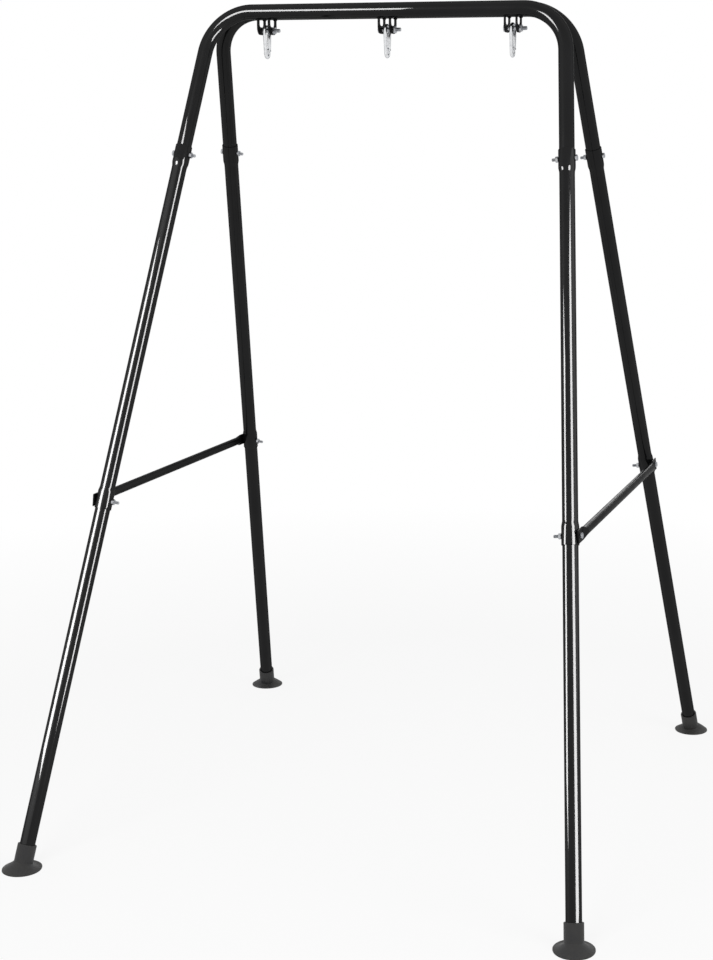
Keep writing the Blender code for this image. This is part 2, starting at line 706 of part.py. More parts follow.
def gate_profile():
    # A round bar with a chamfered top and a ball end about the pin.
    radius = GATE_DIAMETER / 2
    profile = [(0.0, GATE_TOP), (radius - GATE_CHAMFER, GATE_TOP), (radius, GATE_TOP - GATE_CHAMFER)]
    for i in range(GATE_END_STEPS):
        turn = math.pi / 2 * i / GATE_END_STEPS
        profile.append((radius * math.cos(turn), -radius * math.sin(turn)))
    return profile + [(0.0, -radius)]


def gate_mesh():
    # Slotted at both ends and bored for its spring. The top slot is open on the outer side only.
    gate = turned(gate_profile(), GATE_SIDES)
    low_slot = Vector((GATE_SLOT, 2 * GATE_DIAMETER, GATE_SLOT_TOP + GATE_DIAMETER))
    combine(gate, block_mesh(low_slot, Vector((0.0, 0.0, GATE_SLOT_TOP - low_slot.z / 2))), "DIFFERENCE")
    slot_bottom = NOSE_BOTTOM - GATE_SLOT_ROOM
    top_slot = Vector((GATE_SLOT, GATE_DIAMETER, GATE_TOP + TRIM_MARGIN - slot_bottom))
    centre = Vector((0.0, STOP_FACE + top_slot.y / 2, slot_bottom + top_slot.z / 2))
    combine(gate, block_mesh(top_slot, centre), "DIFFERENCE")
    bore_start = Vector((0.0, 0.0, GATE_SLOT_TOP - TRIM_MARGIN))
    bore_end = Vector((0.0, 0.0, GATE_SLOT_TOP + GATE_BORE_DEPTH))
    combine(gate, rod_mesh(GATE_BORE / 2, bore_start, bore_end, BOLT_SIDES), "DIFFERENCE")
    reach = Vector((GATE_DIAMETER, 0.0, 0.0))
    combine(gate, rod_mesh(PIN_DIAMETER / 2 + GAP, -reach, reach, BOLT_SIDES), "DIFFERENCE")
    return finished_mesh(gate, "hook_gate")


def spring_mesh():
    # Compression spring in the gate's bore, on the knuckle of the hook.
    low = KNUCKLE_RADIUS + GAP + SPRING_WIRE / 2
    high = GATE_SLOT_TOP + GATE_BORE_DEPTH - GAP - SPRING_WIRE / 2
    radius = (SPRING_DIAMETER - SPRING_WIRE) / 2
    count = SPRING_TURNS * SPRING_STEPS
    points = []
    for i in range(count + 1):
        turn = 2 * math.pi * i / SPRING_STEPS
        height = low + (high - low) * i / count
        points.append(Vector((radius * math.cos(turn), radius * math.sin(turn), height)))
    helper = wire_curve(points, SPRING_WIRE / 2, SPRING_SIDES, caps=True)
    return finished_mesh(helper, "hook_spring")


def make_hooks():
    body = hook_body_mesh()
    gate = gate_mesh()
    spring = spring_mesh()
    half = GATE_DIAMETER / 2 + PIN_OVERHANG
    pin = rod_mesh(PIN_DIAMETER / 2, Vector((-half, 0.0, 0.0)), Vector((half, 0.0, 0.0)), BOLT_SIDES)
    for name, x in HANGERS.items():
        place = Matrix.Translation((x, 0.0, HANGER_BOLT_HEIGHT))
        add_piece(name + "_hook_body", body, "zinc_plate", place)
        add_piece(name + "_hook_gate", gate, "zinc_plate", place @ GATE_FRAME)
        add_piece(name + "_hook_pin", pin, "zinc_plate", place @ GATE_FRAME)
        add_piece(name + "_hook_spring", spring, "spring_steel", place @ GATE_FRAME)


make_bows()
make_middle_legs()
make_lower_legs()
make_feet()
make_braces()
make_frame_fasteners()
make_hangers()
make_hooks()
print("Pieces:", len(PARTS.objects))
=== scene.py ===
import math

import bpy
from mathutils import Matrix, Vector


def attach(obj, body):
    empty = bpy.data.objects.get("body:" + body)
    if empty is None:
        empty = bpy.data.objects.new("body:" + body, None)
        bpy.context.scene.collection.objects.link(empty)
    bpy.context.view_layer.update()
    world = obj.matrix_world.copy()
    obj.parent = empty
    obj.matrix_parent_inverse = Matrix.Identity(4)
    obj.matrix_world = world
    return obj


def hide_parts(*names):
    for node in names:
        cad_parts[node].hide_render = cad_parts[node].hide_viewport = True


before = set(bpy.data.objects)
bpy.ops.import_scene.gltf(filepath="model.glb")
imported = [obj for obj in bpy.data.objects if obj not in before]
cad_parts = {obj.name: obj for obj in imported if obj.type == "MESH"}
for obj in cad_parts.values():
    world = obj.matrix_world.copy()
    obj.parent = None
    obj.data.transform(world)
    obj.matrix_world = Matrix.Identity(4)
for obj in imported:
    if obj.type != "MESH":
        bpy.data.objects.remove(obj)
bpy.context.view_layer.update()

# sizes that several pieces share, in metres, to the tubes' axes
stand = {
    "barHeight": 2.100,
    "barY": 0.020,
    "cornerX": 0.470,
    "footX": 0.707,
    "footY": 0.750,
    "upperJoint": 1.740,
    "braceJoint": 0.882,
    "tubeRadius": 0.019,
    "wall": 0.0016,
    "gap": 0.0003,
    "sides": {"left": -1, "right": 1},
    "ends": {"front": -1, "rear": 1},
}
socket = {
    "depth": 0.044,
    "taper": 0.014,
    "clearance": 0.0006,
    "lip": 0.0007,
}
socket["outer"] = stand["tubeRadius"] + socket["clearance"] + stand["wall"]


# Modelling helpers

mergeDistance = 0.000002
smoothAngle = 35.0            # edges that turn further stay sharp
softAngle = 60.0              # for the ripples of welds and the wire of springs
past = 0.001                  # how far a cutter or an overlap reaches past an edge
cornerMiddle = 0.3            # where a rounded corner's middle point lies, as a share of its size


def deselectAll():
    if bpy.context.object and bpy.context.object.mode == "EDIT":
        bpy.ops.object.mode_set(mode="OBJECT")
    bpy.ops.object.select_all(action="DESELECT")


def makeActive(piece):
    deselectAll()
    piece.select_set(True)
    bpy.context.view_layer.objects.active = piece


def applyModifiers(piece):
    makeActive(piece)
    for modifier in list(piece.modifiers):
        bpy.ops.object.modifier_apply(modifier=modifier.name)


def settle(piece, place=None):
    # object at the origin, its place in its mesh
    makeActive(piece)
    if place is not None:
        piece.matrix_world = place @ piece.matrix_world
    bpy.ops.object.transform_apply(location=True, rotation=True, scale=True)


def shade(angle=smoothAngle):
    bpy.ops.object.shade_smooth_by_angle(angle=math.radians(angle))


def closeUp(angle=smoothAngle):
    # last step in edit mode: merge, face outwards, shade
    bpy.ops.mesh.select_all(action="SELECT")
    bpy.ops.mesh.remove_doubles(threshold=mergeDistance)
    bpy.ops.mesh.normals_make_consistent(inside=False)
    bpy.ops.object.mode_set(mode="OBJECT")
    shade(angle)


def pull(step):
    # extrudes what is selected
    bpy.ops.mesh.extrude_region_move(TRANSFORM_OT_translate={"value": step})


def drawLine(name, points):
    # a plane merged to one point, then extruded from point to point
    deselectAll()
    bpy.ops.mesh.primitive_plane_add(size=0.001)
    piece = bpy.context.object
    piece.name = name
    bpy.ops.object.mode_set(mode="EDIT")
    bpy.ops.mesh.merge(type="CENTER")
    bpy.ops.transform.translate(value=points[0])
    for last, point in zip(points, points[1:]):
        pull(Vector(point) - Vector(last))
    return piece


def turnPiece(name, profile, sides, angle=smoothAngle):
    # profile of (radius, height), spun about Z
    piece = drawLine(name, [(radius, 0.0, height) for radius, height in profile])
    bpy.ops.mesh.select_all(action="SELECT")
    bpy.ops.mesh.spin(steps=sides, angle=2 * math.pi, center=(0, 0, 0), axis=(0, 0, 1))
    closeUp(angle)
    return piece


def addRing(name, radius, sides, centre, along):
    # circle square to a direction, left in edit mode with all of it selected
    deselectAll()
    turn = Vector(along).to_track_quat("Z", "X").to_euler()
    bpy.ops.mesh.primitive_circle_add(vertices=sides, radius=radius, location=centre, rotation=turn)
    piece = bpy.context.object
    piece.name = name
    bpy.ops.object.mode_set(mode="EDIT")
    bpy.ops.mesh.select_all(action="SELECT")
    return piece


def bendRing(steps, angle, centre, axis):
    # spin turns by the left-hand rule, so the angle is negated
    bpy.ops.mesh.spin(steps=steps, angle=-angle, center=centre, axis=axis)


def closeEnds():
    # caps every open ring
    bpy.ops.mesh.select_mode(type="EDGE")
    bpy.ops.mesh.select_all(action="DESELECT")
    bpy.ops.mesh.select_non_manifold()
    bpy.ops.mesh.edge_face_add()
    bpy.ops.mesh.select_mode(type="VERT")


def addBlock(name, size, centre, place=None):
    deselectAll()
    bpy.ops.mesh.primitive_cube_add(size=1.0, location=centre)
    block = bpy.context.object
    block.name = name
    block.scale = size
    settle(block, place)
    return block


def addRod(name, radius, start, end, sides=32, place=None):
    deselectAll()
    along = Vector(end) - Vector(start)
    middle = (Vector(start) + Vector(end)) / 2
    turn = along.to_track_quat("Z", "X").to_euler()
    bpy.ops.mesh.primitive_cylinder_add(
        vertices=sides, radius=radius, depth=along.length, location=middle, rotation=turn
    )
    rod = bpy.context.object
    rod.name = name
    settle(rod, place)
    return rod


def combine(piece, other, operation="DIFFERENCE"):
    makeActive(piece)
    change = piece.modifiers.new("shape", "BOOLEAN")
    change.operation = operation
    change.object = other
    change.solver = "EXACT"
    bpy.ops.object.modifier_apply(modifier=change.name)
    bpy.data.objects.remove(other, do_unlink=True)


def mend(piece):
    # merges the slivers that a boolean leaves
    makeActive(piece)
    bpy.ops.object.mode_set(mode="EDIT")
    bpy.ops.mesh.select_all(action="SELECT")
    bpy.ops.mesh.remove_doubles(threshold=2 * mergeDistance)
    bpy.ops.mesh.dissolve_degenerate(threshold=mergeDistance)
    bpy.ops.mesh.normals_make_consistent(inside=False)
    bpy.ops.object.mode_set(mode="OBJECT")


def roundEdges(piece, width, angle):
    makeActive(piece)
    edge = piece.modifiers.new("edges", "BEVEL")
    edge.width = width
    edge.segments = 2
    edge.limit_method = "ANGLE"
    edge.angle_limit = math.radians(angle)
    edge.use_clamp_overlap = True
    bpy.ops.object.modifier_apply(modifier=edge.name)
    shade()


def addWall(piece, thickness, even=False):
    # inwards from the surface, then the new rims are shaded too
    wall = piece.modifiers.new("wall", "SOLIDIFY")
    wall.thickness = thickness
    wall.offset = -1.0
    wall.use_even_offset = even
    applyModifiers(piece)
    shade()


def copyMesh(master, place):
    # own mesh for each copy, with its place in the mesh
    piece = master.copy()
    piece.data = master.data.copy()
    piece.data.transform(place)
    bpy.context.collection.objects.link(piece)
    return piece


def placeCopy(master, name, place, body, slot, *nodes):
    piece = copyMesh(master, place)
    piece.name = name
    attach(piece, body)
    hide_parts(*nodes)
    return piece


def dropMaster(master):
    bpy.data.objects.remove(master, do_unlink=True)


# Finishes

def addNode(tree, kind, **values):
    node = tree.nodes.new(kind)
    for name, value in values.items():
        if hasattr(node, name):
            setattr(node, name, value)
        else:
            node.inputs[name.replace("_", " ")].default_value = value
    return node


def startFinish(name):
    finish = bpy.data.materials.new(name)
    finish.use_nodes = True
    tree = finish.node_tree
    shader = tree.nodes["Principled BSDF"]
    coords = addNode(tree, "ShaderNodeTexCoord").outputs["Object"]
    return finish, tree, shader, coords


def noiseAt(tree, coords, scale, detail, roughness=0.5):
    noise = addNode(tree, "ShaderNodeTexNoise", Scale=scale, Detail=detail, Roughness=roughness)
    tree.links.new(coords, noise.inputs["Vector"])
    return noise.outputs["Fac"]


def rangeOf(tree, value, low, high, start=0.0, end=1.0):
    change = addNode(tree, "ShaderNodeMapRange")
    change.inputs["From Min"].default_value = low
    change.inputs["From Max"].default_value = high
    change.inputs["To Min"].default_value = start
    change.inputs["To Max"].default_value = end
    tree.links.new(value, change.inputs["Value"])
    return change.outputs["Result"]


def patchesOf(tree, coords, patches, start=0.0, end=1.0):
    # noise of a scale, detail and roughness, its levels spread over start to end
    noise = noiseAt(tree, coords, *patches["noise"])
    return rangeOf(tree, noise, *patches["levels"], start, end)


def multiply(tree, first, second):
    product = addNode(tree, "ShaderNodeMath", operation="MULTIPLY")
    tree.links.new(first, product.inputs[0])
    tree.links.new(second, product.inputs[1])
    return product.outputs["Value"]


def blendColors(tree, factor, first, second):
    mix = addNode(tree, "ShaderNodeMix", data_type="RGBA")
    tree.links.new(factor, mix.inputs["Factor"])
    for socketName, color in (("A", first), ("B", second)):
        spot = [item for item in mix.inputs if item.name == socketName and item.type == "RGBA"][0]
        if isinstance(color, tuple):
            spot.default_value = (*color, 1.0)
        else:
            tree.links.new(color, spot)
    return [item for item in mix.outputs if item.type == "RGBA"][0]


def addBump(tree, shader, height, strength, distance):
    bump = addNode(tree, "ShaderNodeBump", Strength=strength, Distance=distance)
    tree.links.new(height, bump.inputs["Height"])
    tree.links.new(bump.outputs["Normal"], shader.inputs["Normal"])
    return bump.outputs["Normal"]


blackPaint = {
    "color": (0.0040, 0.0040, 0.0043),
    "cloudyColor": (0.0072, 0.0072, 0.0076),
    "clouds": {"noise": (7.0, 4.0), "levels": (0.35, 0.65)},
    "dustColor": (0.045, 0.043, 0.040),
    "dustAmount": 0.10,
    "dustSlope": (0.55, 1.0),  # how far a surface has to face up for dust to settle
    "dust": {"noise": (90.0, 5.0, 0.6), "levels": (0.48, 0.72)},
    "specular": 0.01,
    "coat": 0.30,
    "rimCoat": 0.02,          # where the surface turns away, so that the rims stay black
    "rimStart": (0.36, 0.58),
    "coatRoughness": 0.030,
    "roughness": (0.30, 0.42),
    "smears": {"noise": (22.0, 5.0, 0.6), "levels": (0.3, 0.7)},
    "peel": (330.0, 2.0, 0.4),  # orange peel, about 3 mm apart
    "peelStrength": 0.5,
    "peelDepth": 0.000003,
}


def makeBlackPaint():
    finish, tree, shader, coords = startFinish("black_gloss_paint")
    clouds = patchesOf(tree, coords, blackPaint["clouds"])
    color = blendColors(tree, clouds, blackPaint["color"], blackPaint["cloudyColor"])
    upward = addNode(tree, "ShaderNodeSeparateXYZ")
    facing = addNode(tree, "ShaderNodeNewGeometry")
    tree.links.new(facing.outputs["Normal"], upward.inputs["Vector"])
    settled = rangeOf(tree, upward.outputs["Z"], *blackPaint["dustSlope"], 0.0, blackPaint["dustAmount"])
    dust = multiply(tree, settled, patchesOf(tree, coords, blackPaint["dust"]))
    color = blendColors(tree, dust, color, blackPaint["dustColor"])
    tree.links.new(color, shader.inputs["Base Color"])
    roughness = patchesOf(tree, coords, blackPaint["smears"], *blackPaint["roughness"])
    tree.links.new(roughness, shader.inputs["Roughness"])
    shader.inputs["Specular IOR Level"].default_value = blackPaint["specular"]
    turned = addNode(tree, "ShaderNodeLayerWeight").outputs["Facing"]
    near, far = blackPaint["rimStart"]
    weight = rangeOf(tree, turned, near, far, blackPaint["coat"], blackPaint["rimCoat"])
    tree.links.new(weight, shader.inputs["Coat Weight"])
    shader.inputs["Coat Roughness"].default_value = blackPaint["coatRoughness"]
    peel = noiseAt(tree, coords, *blackPaint["peel"])
    bump = addBump(tree, shader, peel, blackPaint["peelStrength"], blackPaint["peelDepth"])
    tree.links.new(bump, shader.inputs["Coat Normal"])
    return finish


rubber = {
    "color": (0.026, 0.026, 0.027),
    "wornColor": (0.040, 0.039, 0.038),
    "worn": {"noise": (38.0, 5.0, 0.6), "levels": (0.38, 0.66)},
    "dirtColor": (0.070, 0.066, 0.060),
    "dirtAmount": 0.5,
    "dirtTop": 0.012,
    "dirt": {"noise": (260.0, 4.0, 0.65), "levels": (0.45, 0.7)},
    "roughness": (0.52, 0.68),
    "specular": 0.35,
    "sheen": 0.05,
    "sheenRoughness": 0.4,
    "grain": (900.0, 3.0, 0.6),
    "grainStrength": 0.6,
    "grainDepth": 0.00005,
}


def makeRubber():
    finish, tree, shader, coords = startFinish("foot_rubber")
    worn = patchesOf(tree, coords, rubber["worn"])
    color = blendColors(tree, worn, rubber["color"], rubber["wornColor"])
    height = addNode(tree, "ShaderNodeSeparateXYZ")
    tree.links.new(coords, height.inputs["Vector"])
    low = rangeOf(tree, height.outputs["Z"], 0.0, rubber["dirtTop"], rubber["dirtAmount"], 0.0)
    dirt = multiply(tree, low, patchesOf(tree, coords, rubber["dirt"]))
    color = blendColors(tree, dirt, color, rubber["dirtColor"])
    tree.links.new(color, shader.inputs["Base Color"])
    roughness = rangeOf(tree, worn, 0.0, 1.0, *rubber["roughness"])
    tree.links.new(roughness, shader.inputs["Roughness"])
    shader.inputs["Specular IOR Level"].default_value = rubber["specular"]
    shader.inputs["Sheen Weight"].default_value = rubber["sheen"]
    shader.inputs["Sheen Roughness"].default_value = rubber["sheenRoughness"]
    grain = noiseAt(tree, coords, *rubber["grain"])
    addBump(tree, shader, grain, rubber["grainStrength"], rubber["grainDepth"])
    return finish


zinc = {
    "color": (0.52, 0.53, 0.55),
    "dullColor": (0.34, 0.35, 0.37),
    "warmColor": (0.48, 0.44, 0.37),
    "warmAmount": 0.18,
    "rimTint": (0.55, 0.56, 0.58),
    "roughness": (0.16, 0.34),
    "grainScale": 1400.0,
    "grainDepth": 0.00001,
}


bareMetal = {
    "clouds": {"noise": (160.0, 4.0, 0.6), "levels": (0.36, 0.68)},
    "warmth": {"noise": (55.0, 3.0), "levels": (0.5, 0.75)},
    "handling": {"noise": (420.0, 5.0, 0.6), "levels": (0.32, 0.7)},
    "grain": (3.0, 0.6),      # detail and roughness
    "grainStrength": 0.5,
}


def makeMetal(name, colors):
    finish, tree, shader, coords = startFinish(name)
    shader.inputs["Metallic"].default_value = 1.0
    shader.inputs["Specular Tint"].default_value = (*colors["rimTint"], 1.0)
    clouds = patchesOf(tree, coords, bareMetal["clouds"])
    color = blendColors(tree, clouds, colors["color"], colors["dullColor"])
    warmth = patchesOf(tree, coords, bareMetal["warmth"], 0.0, colors["warmAmount"])
    color = blendColors(tree, warmth, color, colors["warmColor"])
    tree.links.new(color, shader.inputs["Base Color"])
    roughness = patchesOf(tree, coords, bareMetal["handling"], *colors["roughness"])
    tree.links.new(roughness, shader.inputs["Roughness"])
    grain = noiseAt(tree, coords, colors["grainScale"], *bareMetal["grain"])
    addBump(tree, shader, grain, bareMetal["grainStrength"], colors["grainDepth"])
    return finish


hookPlate = {
    "color": (0.84, 0.85, 0.86),
    "dullColor": (0.66, 0.67, 0.69),
    "warmColor": (0.74, 0.71, 0.66),
    "warmAmount": 0.10,
    "rimTint": (0.35, 0.36, 0.38),
    "roughness": (0.10, 0.22),
    "grainScale": 900.0,
    "grainDepth": 0.000008,
}
springSteel = {
    "color": (0.46, 0.47, 0.49),
    "dullColor": (0.34, 0.35, 0.37),
    "warmColor": (0.42, 0.38, 0.32),
    "warmAmount": 0.20,
    "rimTint": (0.60, 0.61, 0.63),
    "roughness": (0.22, 0.38),
    "grainScale": 1500.0,
    "grainDepth": 0.000006,
}

finishes = {
    "paint": makeBlackPaint(),
    "rubber": makeRubber(),
    "zinc": makeMetal("bolt_zinc", zinc),
    "hook": makeMetal("hook_plating", hookPlate),
    "spring": makeMetal("spring_steel", springSteel),
}
print("finishes:", len(finishes))


def giveFinish(piece, name):
    piece.data.materials.clear()
    piece.data.materials.append(finishes[name])


# Legs' axes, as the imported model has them

def legPoint(side, end, height):
    down = (stand["barHeight"] - height) / stand["barHeight"]
    x = stand["cornerX"] + (stand["footX"] - stand["cornerX"]) * down
    y = stand["barY"] + (stand["footY"] - stand["barY"]) * down
    return Vector((side * x, end * y, height))


def legAxes(side, end):
    up = (legPoint(side, end, stand["barHeight"]) - legPoint(side, end, 0.0)).normalized()
    out = Vector((up.z, 0.0, -up.x)).normalized() * side
    return out, up.cross(out), up


def legFrame(side, end, height):
    place = Matrix(legAxes(side, end)).transposed().to_4x4()
    place.translation = legPoint(side, end, height)
    return place


legSlope = legAxes(1, 1)[2].z
corners = [(endName, end, sideName, side) for endName, end in stand["ends"].items()
           for sideName, side in stand["sides"].items()]


# Bent top bows

bow = {
    "sides": 48,
    "bendRadius": 0.120,
    "bendSteps": 28,
    "insert": 0.021,          # how far a leg end reaches past the joint bolt
}


def makeBows():
    # half of the front bow, from the middle of the bar down to the leg's end, then mirrored
    along = Vector((1.0, 0.0, 0.0))
    down = -legAxes(1, -1)[2]
    turn = along.angle(down)
    corner = Vector((stand["cornerX"], -stand["barY"], stand["barHeight"]))
    start = corner - along * bow["bendRadius"] * math.tan(turn / 2)
    inward = (down - along * down.dot(along)).normalized()
    centre = start + inward * bow["bendRadius"]
    finish = corner + down * bow["bendRadius"] * math.tan(turn / 2)
    legLength = (stand["barHeight"] - stand["upperJoint"]) / legSlope + bow["insert"]
    tip = corner + down * legLength
    first = Vector((0.0, -stand["barY"], stand["barHeight"]))
    piece = addRing("bow", stand["tubeRadius"], bow["sides"], first, along)
    pull(start - first)
    bendRing(bow["bendSteps"], turn, centre, along.cross(inward))
    pull(tip - finish)
    settle(piece)
    mirror = piece.modifiers.new("other half", "MIRROR")
    mirror.merge_threshold = 0.0001
    applyModifiers(piece)
    bpy.ops.object.mode_set(mode="EDIT")
    closeUp()
    addWall(piece, stand["wall"], True)
    giveFinish(piece, "paint")
    for endName, end in stand["ends"].items():
        place = Matrix.Rotation(math.pi if end > 0 else 0.0, 4, "Z")
        placeCopy(piece, endName + "_bow_tube", place, "stand", "black_paint", endName + "_bow")
    dropMaster(piece)


makeBows()
print("bows")


# Leg tubes

def easeTaper(start, end, fromHeight, toHeight, steps=6):
    # points of a smooth swage between two radii
    points = []
    for i in range(steps + 1):
        part = i / steps
        ease = part * part * (3 - 2 * part)
        points.append((start + (end - start) * ease, fromHeight + (toHeight - fromHeight) * part))
    return points


def placeTubes(piece, kind):
    # one on each leg, measured from the brace bolt
    giveFinish(piece, "paint")
    for endName, end, sideName, side in corners:
        name = f"{endName}_{sideName}_{kind}_leg"
        place = legFrame(side, end, stand["braceJoint"])
        placeCopy(piece, name + "_tube", place, "stand", "black_paint", name)
    dropMaster(piece)


def makeMiddleLegs():
    # a socket swaged at each end, measured up from the brace bolt
    outer, lip, wall = socket["outer"], socket["lip"], stand["wall"]
    half, taper, tube = socket["depth"] / 2, socket["taper"], stand["tubeRadius"]
    top = (stand["upperJoint"] - stand["braceJoint"]) / legSlope
    outside = easeTaper(outer, tube, top - half, top - half - taper)
    outside += easeTaper(tube, outer, half + taper, half)
    mid = lip * cornerMiddle
    mouth = [(outer - lip, top + half), (outer - mid, top + half - mid), (outer, top + half - lip)]
    below = [(outer, lip - half), (outer - mid, mid - half), (outer - lip, -half)]
    inside = [(radius - wall, height) for radius, height in reversed(outside)]
    inside = [(outer - wall, -half)] + inside + [(outer - wall, top + half)]
    profile = mouth + outside + below + inside
    piece = turnPiece("middle_leg", profile + profile[:1], bow["sides"])
    placeTubes(piece, "middle")


foot = {
    "radius": 0.049,
    "rim": 0.0025,
    "edge": 0.0007,
    "flare": 0.0135,
    "sleeve": 0.045,
    "sleeveWall": 0.0042,
    "lip": 0.0011,
    "boreLip": 0.4,           # as a share of the lip outside
    "floor": 0.005,
    "hollow": 1.2,            # 1 is a straight cone, more is a hollow curve
    "sides": 64,
    "steps": 12,
    "smoothAngle": 38.0,
}


def footDrop():
    # how far a tube's end corner reaches below its middle, above the foot's floor
    lean = math.sqrt(1.0 - legSlope ** 2)
    return (stand["tubeRadius"] + stand["gap"]) * lean + foot["floor"]


def makeLowerLegs():
    tube, wall = stand["tubeRadius"], stand["wall"]
    top = bow["insert"]
    low = (footDrop() - stand["braceJoint"]) / legSlope + stand["gap"]
    profile = [(tube, top), (tube, low), (tube - wall, low), (tube - wall, top)]
    piece = turnPiece("lower_leg", profile + profile[:1], bow["sides"])
    placeTubes(piece, "lower")


def footProfile(slope):
    # (radius, climb along the leg) from the base's middle, up the outside and down the bore
    radius, rim, edge = foot["radius"], foot["rim"] / slope, foot["edge"]
    bore = stand["tubeRadius"] + stand["gap"]
    sleeve = bore + foot["sleeveWall"]
    start = (foot["rim"] + foot["flare"]) / slope
    top = start + foot["sleeve"]
    mid = edge * cornerMiddle
    points = [(0.0, 0.0), (radius - edge, 0.0), (radius - mid, mid), (radius, edge)]
    for i in range(foot["steps"] + 1):
        part = i / foot["steps"]
        spread = (radius - sleeve) * (1 - part) ** foot["hollow"]
        points.append((sleeve + spread, rim + (start - rim) * part))
    lip, inner = foot["lip"], foot["lip"] * foot["boreLip"]
    mid = lip * cornerMiddle
    points += [(sleeve, top - lip), (sleeve - mid, top - mid), (sleeve - lip, top)]
    points += [(bore + inner, top), (bore, top - inner)]
    drop = footDrop() / slope
    return points + [(bore, drop), (0.0, drop)]


def makeFeet():
    # turned upright, then each height is swung from level at the base to square with the leg
    master = turnPiece("foot", footProfile(legSlope), foot["sides"], foot["smoothAngle"])
    giveFinish(master, "rubber")
    rim = foot["rim"] / legSlope
    flare = foot["flare"] / legSlope
    for endName, end, sideName, side in corners:
        out, across, up = legAxes(side, end)
        level = Vector((side, 0.0, 0.0))
        levelAcross = Vector((0.0, side, 0.0))
        name = f"{endName}_{sideName}_foot_cap"
        piece = placeCopy(master, name + "_boot", Matrix.Identity(4), "stand", "rubber", name)
        base = legPoint(side, end, 0.0)
        for vertex in piece.data.vertices:
            x, y, climb = vertex.co
            part = min(1.0, max(0.0, (climb - rim) / flare))
            first = level.lerp(out, part).normalized()
            second = levelAcross.lerp(across, part).normalized()
            vertex.co = base + up * climb + first * x + second * y
    dropMaster(master)


# Side braces

brace = {
    "radius": 0.011,
    "wall": 0.0012,
    "slit": 0.0008,
    "endMargin": 0.016,
    "flat": 0.024,
    "transition": 0.024,
    "steps": 14,
    "sides": 48,
}


def flattened(turn, half, girth):
    # a pressed tube keeps its quarter girth, so it widens as it thins
    straight = girth - half * math.pi / 2
    run = abs(math.asin(max(-1.0, min(1.0, math.sin(turn))))) / (math.pi / 2) * girth
    bend = max(0.0, (run - straight) / half)
    x = half * math.cos(bend)
    z = min(run, straight) + half * math.sin(bend)
    return math.copysign(x, math.cos(turn)), math.copysign(z, math.sin(turn))


def makeBraces():
    radius = brace["radius"]
    flatHalf = brace["wall"] + brace["slit"] / 2
    span = legPoint(1, 1, stand["braceJoint"]).y
    full = span + brace["endMargin"]
    roundEnd = span - brace["flat"] - brace["transition"]
    stations = [-full] + [-(span - brace["flat"] - brace["transition"] * i / brace["steps"])
                          for i in range(brace["steps"] + 1)]
    stations += [-station for station in reversed(stations)]
    piece = addRing("brace", radius, brace["sides"], (0, -full, 0), (0, 1, 0))
    for last, station in zip(stations, stations[1:]):
        pull((0, station - last, 0))
    settle(piece)
    for vertex in piece.data.vertices:
        part = min(1.0, max(0.0, (abs(vertex.co.y) - roundEnd) / brace["transition"]))
        half = flatHalf + (radius - flatHalf) * (1 + math.cos(math.pi * part)) / 2
        turn = math.atan2(vertex.co.z, vertex.co.x)
        vertex.co.x, vertex.co.z = flattened(turn, half, radius * math.pi / 2)
    bpy.ops.object.mode_set(mode="EDIT")
    closeUp()
    addWall(piece, brace["wall"])
    giveFinish(piece, "paint")
    for sideName, side in stand["sides"].items():
        out = legAxes(side, -1)[0]
        along = Vector((0.0, side, 0.0))
        place = Matrix((out, along, out.cross(along))).transposed().to_4x4()
        middle = legPoint(side, 1, stand["braceJoint"])
        middle.y = 0.0
        place.translation = middle + out * braceOffset()
        name = sideName + "_side_brace"
        placeCopy(piece, name + "_tube", place, "stand", "black_paint", name)
    dropMaster(piece)


def braceOffset():
    return socket["outer"] + stand["gap"] + brace["wall"] + brace["slit"] / 2


makeMiddleLegs()
makeLowerLegs()
makeFeet()
makeBraces()
print("legs, feet and braces")


# Bolts and nuts

frameBolt = {
    "diameter": 0.008,
    "flats": 0.013,
    "head": 0.0053,
    "nut": 0.0068,
    "pitch": 0.00125,
}
hangerBolt = {
    "diameter": 0.010,
    "flats": 0.016,
    "head": 0.0064,
    "nut": 0.008,
    "pitch": 0.0015,
}
boltEnds = {"joint": 0.009, "brace": 0.012, "hanger": 0.012}   # how far each bolt passes its nut
boltTurns = {"frame": 23.0, "hanger": (17.0, 31.0)}   # degrees, so that the hexagons stand differently
aboutX = Matrix(((0, 0, 1, 0), (1, 0, 0, 0), (0, 1, 0, 0), (0, 0, 0, 1)))   # stands Z along X

hexagon = {
    "wide": 1.02,             # the turned form's radius, as a share of the corners'
    "face": 0.475,            # the round face's radius, as a share of the flats
    "chamfer": 30.0,
    "bearing": 0.25,          # how much of the chamfer a bolt head has underneath
    "rough": 1.2,             # height before the ends are cut, as a share of the height
    "sides": 48,
}


def hexBlock(name, flats, low, high, chamferLow):
    # hexagon along Z with its corners turned off
    corner = flats / math.sqrt(3)
    wide, face = corner * hexagon["wide"], flats * hexagon["face"]
    drop = (wide - face) * math.tan(math.radians(hexagon["chamfer"]))
    lowDrop = drop if chamferLow else drop * hexagon["bearing"]
    form = [(0.0, high), (face, high), (wide, high - drop)]
    form += [(wide, low + lowDrop), (face, low), (0.0, low)]
    turned = turnPiece("corners", form, hexagon["sides"])
    deselectAll()
    rough = (high - low) * hexagon["rough"]
    bpy.ops.mesh.primitive_cylinder_add(
        vertices=6, radius=corner, depth=rough, location=(0, 0, (high + low) / 2)
    )
    block = bpy.context.object
    block.name = name
    settle(block)
    combine(block, turned, "INTERSECT")
    return block


thread = {
    "crest": 0.12,            # crest and flank, as shares of half a pitch
    "flank": 0.7,
    "depth": 0.61,            # depth and the tip's bevel, as shares of the pitch
    "bevel": 0.9,
    "ringsPerTurn": 8,
    "sides": 28,
    "smoothAngle": 28.0,
}


